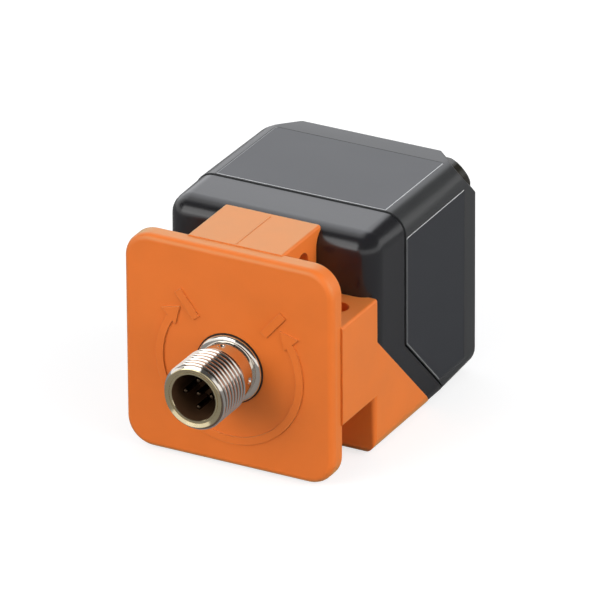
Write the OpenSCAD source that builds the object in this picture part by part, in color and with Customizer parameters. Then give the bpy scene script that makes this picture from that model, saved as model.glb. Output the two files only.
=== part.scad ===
// Cubic inductive proximity sensor: orange base with a square front plate, a cross-shaped
// neck and a 45 degree wedge, a two-part black sensing head, and an M12 plug that turns.
// Millimetres. X runs across, Y runs from the plug to the sensing face, Z is up.

/* [Front plate] */
// Step from the head's sides in to the plate's edges
plate_side_step = 0.4; // [0.2:0.1:2]
// Step from the head's top down to the plate's upper edge
plate_top_step = 0.3; // [0.1:0.1:2]
// Thickness of the plate
plate_t = 3.2; // [2.6:0.1:4.5]
// Radius of the plate's corners
plate_corner_r = 5; // [3:0.5:9]
// Rounding of the plate's front edge
plate_edge_r = 1.2; // [0.4:0.1:2]
// Height of the plate's lower edge above the surface that the sensor stands on
plate_lift = 0.4; // [0.2:0.1:1.5]

/* [Turning mark] */
// Height of the raised mark on the plate
mark_h = 0.3; // [0.15:0.05:0.6]
// Inner radius of the arc
mark_arc_r = 12.7; // [11:0.1:13.5]
// Width of the arc
mark_arc_w = 1.4; // [1:0.1:2]
// Inner radius of the two stop bars
mark_bar_r = 10.2; // [8.5:0.1:11.5]
// Length of each stop bar
mark_bar_len = 5.7; // [4.5:0.1:7]
// Width of each stop bar
mark_bar_w = 1.45; // [1:0.05:2]
// Length of each arrowhead
mark_head_len = 3.1; // [2.5:0.1:4]
// Width of each arrowhead across the arc
mark_head_w = 3.7; // [2.5:0.1:4.5]
// Angle from each stop bar's middle to its arrowhead's tip
mark_tip_off = 6.5; // [5:0.5:9]
// Direction of the middle between the two stop bars, from the X axis
mark_gap_mid = 88.7; // [80:0.1:100]
// Half of the angle between the two stop bars
mark_gap_half = 39.2; // [30:0.1:50]

/* [Neck] */
// Length of the neck between plate and head
neck_len = 11.45; // [9:0.05:16]
// Width of each arm of the cross
arm_w = 18.4; // [17.6:0.2:22]
// Rounding of the arms' long edges
arm_edge_r = 0.5; // [0.2:0.1:1.5]
// Step from the head's faces down to the arm ends at top and bottom
arm_drop = 0.1; // [0:0.05:0.5]
// Diameter of the cross hole in each arm
arm_hole_d = 4; // [3:0.1:5]
// Distance of each cross hole from its arm's outer end
arm_hole_inset = 4.6; // [3.6:0.1:6]
// Distance of each cross hole from the head
arm_hole_setback = 4.9; // [3.5:0.1:6]
// How far the top arm's lip laps over the head
top_lip = 1.65; // [0.6:0.05:2.4]
// How far the side arms' lips lap over the head
side_lip = 0.8; // [0.4:0.05:2]
// Width of the moulding line along the top arm
parting_w = 0.25; // [0.1:0.05:0.5]
// Height of the moulding line
parting_h = 0.05; // [0.03:0.01:0.08]

/* [Wedge] */
// Height of the wedge's front face, and its length along the bottom
wedge_h = 22.35; // [20.5:0.05:25]
// Wall of the hollow wedge
wedge_wall = 2.2; // [1.6:0.1:3]
// Rounding of the wedge's upright front edges
wedge_side_r = 1; // [0.4:0.1:1.5]
// Rounding of the wedge's lower front edge
wedge_front_r = 1.9; // [1:0.1:3]
// Radius of the four screw bosses
boss_r = 2.8; // [2.2:0.1:3.4]
// Distance of the bosses' axes from the middle plane
boss_x = 14; // [12:0.1:15]
// Distance of the bosses' axes from the slope's middle
boss_spread = 7.2; // [6:0.1:8.5]

/* [Head] */
// Width of the rear housing at the seam
head_w = 40.8; // [38:0.2:44]
// Height of the rear housing at the seam
head_h = 40.8; // [39:0.2:44]
// Length of the head from the neck to the sensing face
head_len = 38.35; // [36:0.1:46]
// How much narrower each side is at the sensing face
side_taper = 0.2; // [0:0.05:0.6]
// How much lower the top is at the sensing face
top_taper = 0.15; // [0:0.05:0.6]
// How much the bottom rises towards the sensing face
bottom_rise = 0.7; // [0.1:0.05:1.2]
// Length over which the bottom rises
bottom_rise_len = 12; // [8:0.5:14]
// Radius of the head's upper long edges
edge_r = 4; // [3:0.1:5]
// Radius of the lower long edges of head and wedge
lower_edge_r = 3.6; // [2.8:0.1:4]
// Rounding round the sensing face
back_edge_r = 0.8; // [0.3:0.1:1.5]
// Radius of the front shell's front edges
front_edge_r = 3.7; // [3:0.1:4.5]
// Wall of the rear housing
wall = 2; // [1.5:0.1:2.4]
// Wall of the front shell
front_wall = 2.8; // [2.6:0.1:3.2]
// Thickness of the front shell's sloping floor
floor_t = 2; // [1.6:0.1:2.3]
// Distance of the upright seam from the front of the head
seam_setback = 11.25; // [9.5:0.25:14]
// Width of the front shell's band along the slope
seam_band = 3.7; // [3.2:0.1:4.5]
// Width of the dark groove at the seam
seam_gap = 0.25; // [0.1:0.05:0.5]
// Length of the front shell's tongue inside the rear housing
tongue_len = 1.8; // [1:0.1:3]
// Step from the rear housing's faces in to the front shell's
shell_step = 0.2; // [0.05:0.05:0.35]
// How much the front shell narrows towards the neck
shell_taper = 0.1; // [0:0.05:0.5]

/* [Light windows] */
// Length cut off the top rear edge at each upper rear corner
cut_x = 7.3; // [6.2:0.1:8.4]
// Length cut off the long edge at each upper rear corner
cut_y = 7.5; // [5.8:0.1:8.4]
// Length cut off the upright rear edge at each upper rear corner
cut_z = 7; // [5.8:0.1:8]
// Rim of the housing round each lens
lens_rim = 0.8; // [0.4:0.05:0.9]
// Depth of each lens below its rim
lens_depth = 2; // [1.4:0.1:2.4]
// Height of each lens's dome above its rim
lens_bulge = 1.05; // [0.6:0.05:1.4]
// Radius of the dome
lens_dome_r = 9; // [7:0.5:14]

/* [Label fields] */
// Depth of the shallow fields in the rear housing
label_depth = 0.15; // [0.1:0.05:0.3]
// Half width of the top field
label_half_w = 16.4; // [14:0.1:16.6]
// Distance from the seam's groove to each field
label_margin = 0.15; // [0.05:0.05:2]
// Distance from the groove to the side field along the slope
label_slant_margin = 0.15; // [0.05:0.05:1]
// Distance from the sensing face to each field
label_back = 4.9; // [3.5:0.1:6]
// Corner cut of the two fields
label_corner = 0.3; // [0.1:0.1:2]
// Distance of the side field from the head's top and bottom
label_edge = 4.3; // [4:0.1:6]

/* [Plug] */
// Offset of the plug's axis from the middle plane
plug_x = 0.3; // [-0.5:0.1:0.5]
// Height of the plug's axis
plug_z = 18.9; // [18:0.1:20.2]
// Length of the plug in front of the plate
plug_len = 13.1; // [12:0.1:16]
// Outer diameter of the plug's thread
thread_d = 12; // [11:0.1:12.4]
// Length of the thread
thread_len = 8.1; // [6:0.1:8.6]
// Length of the chamfered tip before the thread
tip_len = 0.5; // [0.3:0.1:0.9]
// Outer diameter of the tip
tip_d = 10.9; // [10.2:0.1:11.4]
// Diameter of the neck behind the thread
collar_d = 10.6; // [10.2:0.1:11.2]
// Diameter of the flange at the plate
flange_d = 12.4; // [12:0.1:14]
// Thickness of the flange
flange_t = 1.3; // [0.8:0.1:1.8]
// Bevel of the flange's front edge
flange_bevel = 0.5; // [0.2:0.1:0.7]
// Diameter of the plug's mouth
mouth_d = 8.7; // [8.4:0.1:9]
// Depth of the mouth
mouth_depth = 9; // [7:0.1:10]
// Diameter of the shank inside the base
shank_d = 11.2; // [10.8:0.1:11.6]
// Diameter of the four punch marks behind the thread
punch_d = 1.2; // [0.8:0.1:1.6]
// Largest turn of the plug to either side
turn_limit = 140; // [90:5:145]

/* [Contacts] */
// Diameter of a contact pin
pin_d = 1; // [0.8:0.05:1.2]
// Diameter of the circle that the four outer pins stand on
pin_circle_d = 5; // [4.6:0.1:5.2]
// Distance of the pin tips behind the mouth's edge
pin_recess = 1.8; // [1:0.1:3]
// Width of the coding key
key_w = 1.3; // [1:0.1:1.6]
// Height of the coding key
key_h = 0.6; // [0.4:0.05:0.8]

/* [Bearing of the plug] */
// Length of the bore that the shank turns in
bore_len = 8; // [7:0.1:9]
// Thickness of the retaining clip
clip_t = 0.8; // [0.6:0.1:1]
// Outer radius of the retaining clip
clip_r = 7; // [6.6:0.1:7.2]
// Depth of the clip's groove in the shank
clip_groove = 0.5; // [0.4:0.05:0.6]
// Radius of the space round the clip
room_r = 7.6; // [7.5:0.1:8]
// Distance of the stop tab behind the clip's groove
tab_gap = 0.8; // [0.5:0.1:1.2]
// Outer radius of the stop tab on the shank
tab_r = 7.1; // [6.8:0.1:7.2]
// Half angle of the stop tab
tab_half = 12; // [8:1:16]
// Length of the stop tab along the shank
tab_len = 1.4; // [1:0.1:1.6]
// Thickness of the O-ring's section
o_ring_t = 1; // [0.8:0.05:1.1]
// Radial width of the flat seal under the flange
seal_w = 0.7; // [0.5:0.05:0.75]
// How far the flat seal shows round the flange
seal_lip = 0.2; // [0.1:0.05:0.3]
// Thickness of the flat seal under the flange
seal_t = 0.7; // [0.5:0.05:1]

/* [Coil] */
// Gap between the ferrite pot core and the board above it
core_board_gap = 0.4; // [0.2:0.1:2]
// Length of the pot core
core_len = 9.5; // [7:0.5:10]
// Thickness of the pot core's outer wall
core_wall = 2.2; // [1.8:0.1:3]
// Thickness of the pot core's floor
core_floor = 2; // [1.6:0.1:2.4]
// Diameter of the pot core's centre post
core_post_d = 12; // [9:0.5:13]
// Diameter of the hole through the centre post
core_hole_d = 5.4; // [4:0.2:6]
// Width of the slot for the coil's ends
core_slot_w = 9; // [7.5:0.5:10]
// Thickness of the bobbin's tube and flanges
bobbin_t = 0.8; // [0.6:0.1:1]
// Distance of the winding's surface below the bobbin's flanges
winding_drop = 0.5; // [0.3:0.1:1.5]
// Height of the ring that locates the core
core_seat_h = 3; // [2:0.5:4]
// Thickness of the ring that locates the core
core_seat_t = 1; // [0.8:0.1:1.4]
// Diameter of the coil's end wires
coil_wire_d = 0.6; // [0.4:0.1:0.8]
// Distance between the coil's end wires
coil_wire_pitch = 5; // [4:0.5:6]

/* [Circuit board] */
// Thickness of the circuit board
board_t = 1.2; // [0.8:0.1:1.6]
// Distance of the board's top below the head's top
board_drop = 3.8; // [3.6:0.1:4]
// Gap between the board's sides and the front shell's inner walls
board_side_gap = 0.5; // [0.3:0.1:0.8]
// Gap between the board and the front shell's front wall
board_front_gap = 0.8; // [0.5:0.1:2]
// Distance of the board's rear edge from the sensing face
board_back = 5.5; // [5.3:0.1:5.8]
// Depth of the rails that carry the board
rail_t = 1.2; // [1:0.1:1.6]
// Length of the evaluation chip
sensor_chip_l = 8.6; // [6:0.2:10]
// Width of the evaluation chip
sensor_chip_w = 4; // [3:0.1:5]
// Height of the evaluation chip
sensor_chip_h = 1.7; // [1:0.1:2]
// Length of the output chip
output_chip_l = 6.4; // [4:0.2:8]
// Width of the output chip
output_chip_w = 6.2; // [4:0.1:7]
// Height of the output chip
output_chip_h = 2.3; // [1.5:0.1:2.6]
// Reach of the chips' legs beyond their bodies
chip_leg_reach = 0.9; // [0.5:0.1:1.2]
// Width of a chip's leg
chip_leg_w = 0.4; // [0.3:0.05:0.6]
// Thickness of a chip's leg
chip_leg_t = 0.25; // [0.15:0.05:0.3]
// Diameter of the three capacitors
capacitor_d = 4; // [3:0.1:4.4]
// Height of the three capacitors
capacitor_h = 4.2; // [3:0.1:5]
// Spacing of the three capacitors
capacitor_pitch = 4.6; // [4.5:0.1:6]
// Width of each light-emitting diode
led_w = 3.2; // [2:0.1:3.5]
// Length of each light-emitting diode
led_l = 1.6; // [1:0.1:2]
// Thickness of each light-emitting diode's body
led_h = 0.5; // [0.4:0.1:0.8]
// Diameter of the five leads
lead_d = 1.2; // [0.9:0.1:1.4]
// Spacing of the leads along the head
lead_pitch = 1.9; // [1.6:0.1:2.2]
// Radius of the bend in each lead
lead_bend_r = 2.4; // [1.8:0.1:2.6]

/* [Floor screws] */
// Diameter of the screws' thread
screw_d = 2.5; // [2:0.1:3]
// Length of the screws under the head
screw_len = 6; // [4.5:0.5:6.5]
// Diameter of the screws' heads
screw_head_d = 4.4; // [3.8:0.1:4.8]
// Height of the screws' heads
screw_head_h = 1.6; // [1.2:0.1:2]

/* [Clearances] */
// Gap between pieces that seat on each other
seat_gap = 0.1; // [0.05:0.01:0.15]
// Radial gap between the shank and its bore
running_fit = 0.05; // [0.02:0.01:0.09]
// Gap along the axis between turning and fixed faces
end_play = 0.2; // [0.1:0.05:0.3]
// Angle left before the stops would touch
stop_slack = 1.5; // [1:0.5:3]

/* [Hidden] */
$fn = 64;
hull_fn = 32;
eps = 0.01;
// How far joined forms reach into each other, and how far a cut reaches past what it cuts
sink = 0.4;
over = 1;

// Stations along the length
head_y = plate_t + neck_len;
back_y = head_y + head_len;
seam_y = head_y + seam_setback;
tip_y = -plug_len;
mid_y = (tip_y + back_y) / 2;

// Heads and halves
head_half = head_w / 2;
shell_half = head_half - shell_step;
shell_top = head_h - shell_step;
shell_nose_half = shell_half - shell_taper;
shell_nose_top = shell_top - shell_taper;
shell_base = shell_step / 2;
housing_base = shell_base / 2;
cross_z = head_h / 2;
arm_top = head_h - arm_drop;
arm_base = arm_drop;
plate_w = head_w - 2 * plate_side_step;
plate_h = head_h - plate_top_step - plate_lift;
plate_mid_z = plate_lift + plate_h / 2;

// The slope: the wedge's face is the plane Y + Z = slope_sum
slope_sum = head_y + wedge_h;
slope_len = wedge_h * sqrt(2);
band_sum = slope_sum + seam_band * sqrt(2);
floor_sum = slope_sum + (seat_gap + floor_t) * sqrt(2);
band_end = band_sum + seam_band;
far = head_len + wedge_h;

// The plug's stations
thread_y = tip_y + tip_len;
collar_y = thread_y + thread_len;
seal_y = -end_play / 2 - 0.1;
flange_y = seal_y - end_play / 2;
insert_y = tip_y + mouth_depth;
clip_y = bore_len + end_play;
groove_y = clip_y - seat_gap;
tab_y = groove_y + clip_t + 2 * seat_gap + tab_gap;
shank_y = tab_y + tab_len;
pin_tip_y = tip_y + pin_recess;
pin_tail_y = shank_y + pin_d * 0.6;
shank_r = shank_d / 2;
bore_r = shank_r + running_fit;
seal_r = flange_d / 2 + seal_lip;
carrier_r = mouth_d / 2 - seat_gap / 2;
stop_half = 180 - turn_limit - stop_slack - tab_half;
stop_r = shank_r + 2 * end_play;
o_ring_y = bore_len * 0.55;
pin_places = [
    [0, 0],
    [-pin_circle_d / 2, 0],
    [pin_circle_d / 2, 0],
    [0, pin_circle_d / 2],
    [0, -pin_circle_d / 2]
];

// The board and what stands on it
board_top = head_h - board_drop;
board_z = board_top - board_t;
board_half = shell_nose_half - front_wall - board_side_gap;
board_y = head_y + seat_gap + front_wall + board_front_gap;
board_end = back_y - board_back;
lead_y = board_y + 1.8 * lead_d;

// The coil's stations
core_z = cross_z;
core_d = 2 * (board_z - core_board_gap - core_z);
core_end = back_y - wall - end_play;
core_y = core_end - core_len;
well_y = core_y + core_floor;
bobbin_r = core_d / 2 - core_wall - seat_gap;
bobbin_in_r = core_post_d / 2 + seat_gap;
bobbin_y = well_y + seat_gap;
bobbin_end = core_end - end_play;
winding_in_r = bobbin_in_r + bobbin_t + seat_gap / 2;
winding_r = bobbin_r - winding_drop;

chip_y = (lead_y + core_y) / 2 + lead_pitch;

// The plane across each upper rear corner, through three points on the head's edges
corner = [head_half - side_taper, back_y, head_h - top_taper];
cut_mid = corner - [cut_x, cut_y, cut_z] / 3;
cut_normal = [1 / cut_x, 1 / cut_y, 1 / cut_z] / norm([1 / cut_x, 1 / cut_y, 1 / cut_z]);
cut_lean = acos(cut_normal[2]);
cut_turn = atan2(cut_normal[1], cut_normal[0]);

// Slopes of the rear housing's top and sides
taper_len = back_y - back_edge_r - seam_y;
top_slope = atan(top_taper / taper_len);
side_slope = atan(side_taper / taper_len);

// Turns a drawing in X and Z into a solid from y0 to y1
module along_y(y0, y1) {
    translate([0, y1, 0]) rotate([90, 0, 0]) linear_extrude(y1 - y0) children();
}

// Turns a drawing in Y and Z into a solid from x0 to x1
module along_x(x0, x1) {
    translate([x0, 0, 0]) rotate([90, 0, 90]) linear_extrude(x1 - x0) children();
}

// A rectangle between two corners, with round corners
module round_rect(x0, y0, x1, y1, r) {
    translate([x0 + r, y0]) square([x1 - x0 - 2 * r, y1 - y0]);
    translate([x0, y0 + r]) square([x1 - x0, y1 - y0 - 2 * r]);
    for (x = [x0 + r, x1 - r], y = [y0 + r, y1 - r]) {
        translate([x, y]) circle(r);
    }
}

// A cylinder along Y on the plug's axis
module plug_rod(r, y0, y1) {
    translate([plug_x, y1, plug_z]) rotate([90, 0, 0]) cylinder(r = r, h = y1 - y0);
}

// Turns a drawing of radius and Y into a solid round the plug's axis, from one angle over a span
module plug_turned(from = 0, span = 360) {
    translate([plug_x, 0, plug_z]) rotate([90, 0, 0]) mirror([0, 0, 1])
        rotate(from) rotate_extrude(angle = span) children();
}

// The local XY plane lies on the wedge's slope, with y down the slope and z towards the head
module on_slope() {
    translate([0, head_y, wedge_h]) rotate([-45, 0, 0]) children();
}

// The local XY plane lies on the cut across an upper rear corner
module on_cut(side) {
    mirror([side < 0 ? 1 : 0, 0, 0]) translate(cut_mid) rotate([0, cut_lean, cut_turn]) children();
}

// All that lies outside a plane parallel to the cut, at a depth below it
module beyond_cut(side, depth) {
    on_cut(side) translate([-head_half, -head_half, -depth]) cube(head_w);
}

// Half of an edge section: a bar from the axis out to r, with its outer front corner rounded
module rim_section(r, t, e) {
    translate([0, e]) square([r, t - e]);
    square([r - e, e]);
    intersection() {
        translate([r - e, e]) circle(e);
        square([r, t]);
    }
}

// The square plate with round corners and a soft front edge
module plate() {
    flat_x = plate_w / 2 - plate_corner_r;
    flat_z = plate_h / 2 - plate_corner_r;
    edge = min(plate_edge_r, plate_corner_r / 2);
    translate([0, 0, plate_mid_z]) rotate([-90, 0, 0]) {
        for (turn = [0, 180]) {
            rotate(turn) translate([0, flat_z, 0]) rotate([90, 0, 0]) linear_extrude(2 * flat_z)
                rim_section(plate_w / 2, plate_t, edge);
            rotate(turn + 90) translate([0, flat_x, 0]) rotate([90, 0, 0]) linear_extrude(2 * flat_x)
                rim_section(plate_h / 2, plate_t, edge);
        }
        for (x = [-flat_x, flat_x], y = [-flat_z, flat_z]) {
            translate([x, y, 0]) rotate_extrude() rim_section(plate_corner_r, plate_t, edge);
        }
    }
}

// The raised mark: an arc that ends in two arrowheads, each in front of a stop bar
module turning_mark() {
    arrow_r = mark_arc_r + mark_arc_w / 2;
    tip_at = mark_gap_half + mark_tip_off;
    base_at = tip_at + atan(mark_head_len / arrow_r);
    gap_reach = 2 * arrow_r;
    translate([plug_x, sink, plug_z]) rotate([90, 0, 0]) linear_extrude(mark_h + sink) {
        difference() {
            circle(mark_arc_r + mark_arc_w);
            circle(mark_arc_r);
            polygon([
                [0, 0],
                gap_reach * [cos(mark_gap_mid - base_at), sin(mark_gap_mid - base_at)],
                2 * gap_reach * [cos(mark_gap_mid), sin(mark_gap_mid)],
                gap_reach * [cos(mark_gap_mid + base_at), sin(mark_gap_mid + base_at)]
            ]);
        }
        for (side = [-1, 1]) {
            rotate(mark_gap_mid + side * mark_gap_half)
                translate([mark_bar_r, -mark_bar_w / 2])
                square([mark_bar_len, mark_bar_w]);
            rotate(mark_gap_mid + side * tip_at) translate([arrow_r, 0])
                polygon([
                    [0, 0],
                    [-mark_head_w / 2, side * mark_head_len],
                    [mark_head_w / 2, side * mark_head_len]
                ]);
        }
    }
}

// The cross of the neck's two crossing arms, seen from the front
module cross_outline() {
    round_rect(-arm_w / 2, arm_base, arm_w / 2, arm_top, arm_edge_r);
    round_rect(-head_half, cross_z - arm_w / 2, head_half, cross_z + arm_w / 2, arm_edge_r);
}

// The lips by which the arms lap over the front shell's rounded edges
module arm_lips() {
    clear_r = front_edge_r + seat_gap;
    clear_half = shell_nose_half + seat_gap;
    difference() {
        along_y(head_y - sink, head_y + top_lip)
            round_rect(-arm_w / 2, arm_top - 2 * clear_r, arm_w / 2, arm_top, arm_edge_r);
        along_x(-arm_w, arm_w)
            round_rect(head_y, 0, head_y + far, shell_nose_top + seat_gap, clear_r);
    }
    difference() {
        along_y(head_y - sink, head_y + side_lip)
            round_rect(-head_half, cross_z - arm_w / 2, head_half, cross_z + arm_w / 2, arm_edge_r);
        linear_extrude(head_h)
            round_rect(-clear_half, head_y, clear_half, head_y + far, clear_r);
    }
}

// The wedge's three outlines crossed with each other; shrink moves its walls inwards
module wedge_form(shrink) {
    half = head_half - shrink;
    low = shrink;
    front = head_y + shrink;
    front_r = max(wedge_front_r - shrink, 2 * seat_gap);
    side_r = max(wedge_side_r - shrink, 2 * seat_gap);
    intersection() {
        along_x(-half, half) difference() {
            polygon([[front, low], [slope_sum - low, low], [front, slope_sum - front]]);
            difference() {
                translate([front - over, low - over]) square(front_r + over);
                translate([front + front_r, low + front_r]) circle(front_r);
            }
        }
        along_y(head_y - over, slope_sum + over)
            round_rect(-half, low, half, wedge_h + 2 * edge_r, lower_edge_r - shrink);
        linear_extrude(wedge_h + over)
            round_rect(-half, front, half, slope_sum + edge_r, side_r);
    }
}

// The lower arm carried back under the wedge's rounded front edge
module arm_heel() {
    along_y(head_y - sink, head_y + wedge_front_r)
        round_rect(-arm_w / 2, arm_base, arm_w / 2, wedge_front_r + arm_w / 2, arm_edge_r);
}

// The axes of the four screws, square to the slope
module at_screws() {
    for (x = [-boss_x, boss_x], y = [-boss_spread, boss_spread]) {
        on_slope() translate([x, slope_len / 2 + y, 0]) children();
    }
}

// The bosses inside the wedge that take the floor's screws
module bosses() {
    intersection() {
        at_screws() translate([0, 0, -wedge_h]) cylinder(r = boss_r, h = wedge_h);
        wedge_form(wedge_wall / 2);
    }
}

// The holes in the bosses for the floor's screws
module boss_holes() {
    depth = screw_len - floor_t - seat_gap + screw_d / 5;
    at_screws() translate([0, 0, -depth]) cylinder(d = screw_d + 2 * seat_gap, h = depth + over);
}

// The stop inside the base that the plug's tab would meet
module base_stop() {
    plug_turned(90 - stop_half, 2 * stop_half)
        translate([stop_r, tab_y - end_play]) square([room_r + sink - stop_r, tab_len + 2 * end_play]);
}

// The one moulding of plate, neck and wedge
module base_body() {
    color("#e0752f") at_origin() difference() {
        union() {
            difference() {
                union() {
                    plate();
                    turning_mark();
                    along_y(plate_t - sink, head_y) cross_outline();
                    arm_lips();
                    wedge_form(0);
                    arm_heel();
                    along_y(plate_t, head_y + top_lip / 2)
                        translate([-parting_w / 2, arm_top - arm_edge_r])
                        square([parting_w, arm_edge_r + parting_h]);
                }
                plug_rod(bore_r, -plug_len, head_y);
                plug_rod(seal_r, -plug_len, seal_y + seal_t);
                plug_rod(room_r, bore_len, head_y + wedge_wall + sink);
                wedge_form(wedge_wall);
                arm_holes();
            }
            bosses();
            base_stop();
        }
        boss_holes();
    }
}

// The cross holes through the four arms
module arm_holes() {
    hole_y = head_y - arm_hole_setback;
    for (z = [arm_base + arm_hole_inset, arm_top - arm_hole_inset]) {
        translate([-arm_w / 2 - over, hole_y, z]) rotate([0, 90, 0])
            cylinder(d = arm_hole_d, h = arm_w + 2 * over);
    }
    for (x = [-head_half + arm_hole_inset, head_half - arm_hole_inset]) {
        translate([x, hole_y, cross_z - arm_w / 2 - over]) cylinder(d = arm_hole_d, h = arm_w + 2 * over);
    }
}

// A thin disc across Y, one corner of a section of the head
module corner_disc(x, y, z, r) {
    translate([x, y, z]) rotate([90, 0, 0]) cylinder(r = r, h = eps, center = true, $fn = hull_fn);
}

// The four corner discs of a section of the head at one station, with their upper and lower radius
module section(y, half, top, base, r, low_r) {
    for (side = [-1, 1]) {
        corner_disc(side * (half - r), y, top - r, r);
        corner_disc(side * (half - low_r), y, base + low_r, low_r);
    }
}

// The rear housing's outer form; inset moves every face inwards
module rear_form(inset) {
    end_r = max(back_edge_r - inset, 2 * seat_gap);
    hull() {
        for (y = [seam_y - far / 4, back_y - bottom_rise_len]) {
            share = (y - seam_y) / taper_len;
            section(y, head_half - side_taper * share - inset, head_h - top_taper * share - inset,
                housing_base + inset, edge_r - inset, lower_edge_r - inset);
        }
        for (a = [0, 30, 60, 90]) {
            curl = end_r * (1 - cos(a));
            section(back_y - inset - end_r * (1 - sin(a)), corner[0] - inset - curl,
                corner[2] - inset - curl, housing_base + bottom_rise + inset + curl,
                edge_r - inset - curl, lower_edge_r - inset - curl);
        }
    }
}

// A round cap of the front shell's corners, turned about the head's length
module nose_cap(r) {
    steps = hull_fn / 4;
    rotate_extrude($fn = hull_fn) polygon([
        [0, 0],
        for (i = [0:steps]) [r * cos(90 * i / steps), r * sin(90 * i / steps)]
    ]);
}

// The front shell's outer form; inset moves every face inwards
module front_form(inset) {
    r = front_edge_r - inset;
    low_r = lower_edge_r - (edge_r - front_edge_r) - inset;
    nose_y = head_y + seat_gap + inset;
    hull() {
        for (side = [-1, 1]) {
            translate([side * (shell_nose_half - inset - r), nose_y + r, shell_nose_top - inset - r])
                rotate([90, 0, 0]) nose_cap(r);
            translate([side * (shell_nose_half - inset - low_r), nose_y + low_r, shell_base + inset + low_r])
                rotate([90, 0, 0]) nose_cap(low_r);
            translate([side * (shell_half - inset - r), band_end, shell_top - inset - r])
                rotate([90, 0, 0]) cylinder(r = r, h = band_end - seam_y, $fn = hull_fn);
            translate([side * (shell_half - inset - low_r), band_end, shell_base + inset + low_r])
                rotate([90, 0, 0]) cylinder(r = low_r, h = band_end - seam_y, $fn = hull_fn);
        }
    }
}

// All in front of the seam, moved back by a distance square to it, and down to a sloping plane
module before_seam(low_sum, move) {
    bend = band_sum + move * sqrt(2) - (seam_y + move);
    along_x(-head_w, head_w) polygon([
        [low_sum - far, far],
        [seam_y + move, far],
        [seam_y + move, bend],
        [band_sum + move * sqrt(2) + edge_r, -edge_r],
        [low_sum + edge_r, -edge_r]
    ]);
}

// The glossy front part of the head
module front_shell() {
    color("#17171a") at_origin() difference() {
        union() {
            intersection() {
                front_form(0);
                before_seam(slope_sum + seat_gap * sqrt(2), 0);
            }
            intersection() {
                rear_form(wall + seat_gap);
                difference() {
                    before_seam(slope_sum + seat_gap * sqrt(2), tongue_len);
                    before_seam(slope_sum, -over);
                }
            }
        }
        intersection() {
            front_form(front_wall);
            before_seam(floor_sum, far);
        }
        lead_window();
        at_screws() cylinder(d = screw_d + 2 * seat_gap, h = floor_t + over);
    }
}

// The opening in the sloping floor through which the leads pass
module lead_window() {
    half = pin_circle_d / 2 + lead_d * 1.5;
    low_z = plug_z - half;
    translate([plug_x - half, head_y - over, low_z])
        cube([2 * half, slope_sum - head_y - low_z + 3 * floor_t, wedge_h + lead_d / 2 - low_z]);
}

// The matt rear part of the head, open towards the seam
module rear_housing() {
    color("#3f4043") at_origin() {
        difference() {
            rear_form(0);
            before_seam(-far, seam_gap);
            rear_form(wall);
            for (side = [-1, 1]) {
                beyond_cut(side, 0);
            }
            intersection() {
                rear_form(lens_rim - seat_gap);
                union() {
                    beyond_cut(-1, lens_depth);
                    beyond_cut(1, lens_depth);
                }
            }
            on_top() label_field(0, label_depth + over);
            on_side() side_field(0, label_depth + over);
        }
        core_seat();
        rails();
    }
}

// The ring inside the rear wall that locates the pot core
module core_seat() {
    ring_r = core_d / 2 + seat_gap;
    translate([0, back_y - wall + sink, core_z]) rotate([90, 0, 0])
        rotate_extrude() translate([ring_r, 0]) square([core_seat_t, core_seat_h + sink]);
}

// The rails on both side walls that carry the board
module rails() {
    rail_y = seam_y + tongue_len + over;
    rail_end = board_end - board_back / 2;
    intersection() {
        rear_form(wall / 2);
        for (side = [-1, 1]) {
            mirror([side < 0 ? 1 : 0, 0, 0])
                translate([board_half - rail_t / 2, rail_y, board_z - rail_t])
                cube([head_half - board_half, rail_end - rail_y, rail_t]);
        }
    }
}

// The local XY plane lies on the housing's top, with y along the head from the seam
module on_top() {
    translate([0, seam_y, head_h]) rotate([-top_slope, 0, 0]) children();
}

// The local XY plane lies on the housing's right side, with x along the head from the seam
module on_side() {
    translate([head_half, seam_y, 0]) rotate([0, 0, side_slope]) rotate([90, 0, 90]) children();
}

// The top field as a thin slab of a given height; trim draws its edges in
module label_field(trim, height) {
    half = label_half_w - trim;
    y0 = seam_gap + label_margin + trim;
    y1 = back_y - seam_y - label_back - trim;
    c = label_corner;
    translate([0, 0, -label_depth]) linear_extrude(height)
        polygon([[-half, y0], [half, y0], [half, y1 - c], [half - c, y1], [c - half, y1], [-half, y1 - c]]);
}

// The side field as a thin slab of a given height, with a front edge that runs along the seam
module side_field(trim, height) {
    x0 = seam_gap + label_margin + trim;
    x1 = back_y - seam_y - label_back - trim;
    z1 = head_h - label_edge - trim;
    z0 = label_edge + trim;
    c = label_corner;
    slant = band_sum - seam_y + (seam_gap + label_slant_margin + trim) * sqrt(2);
    translate([0, 0, -label_depth]) linear_extrude(height)
        polygon([[x0, z1 - c], [x0 + c, z1], [x1, z1], [x1, z0], [slant - z0, z0], [x0, slant - x0]]);
}

// The bare foil in the top field
module label_top() {
    color("#3a3b40") at_origin() on_top() label_field(seat_gap, label_depth);
}

// The bare foil in the side field
module label_side() {
    color("#333438") at_origin() on_side() side_field(seat_gap, label_depth);
}

// The smoky lens in one upper rear corner
module lens(side) {
    color("#4a4026") at_origin() intersection() {
        rear_form(lens_rim);
        beyond_cut(side, lens_depth);
        on_cut(side) union() {
            translate([0, 0, lens_bulge - lens_dome_r]) sphere(lens_dome_r);
            translate([-head_half, -head_half, -lens_depth - over])
                cube([head_w, head_w, lens_depth + over]);
        }
    }
}

// The light-emitting diode behind one lens: a flat body with a round window
module led(side) {
    color("#e8d890") at_origin()
        translate([side * (board_half - led_w * 0.75), board_end - led_l * 1.4, board_top]) {
            translate([-led_w / 2, -led_l / 2, 0]) cube([led_w, led_l, led_h]);
            translate([0, 0, led_h - eps]) cylinder(r = led_l * 0.375, h = led_h * 0.8);
        }
}

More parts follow.
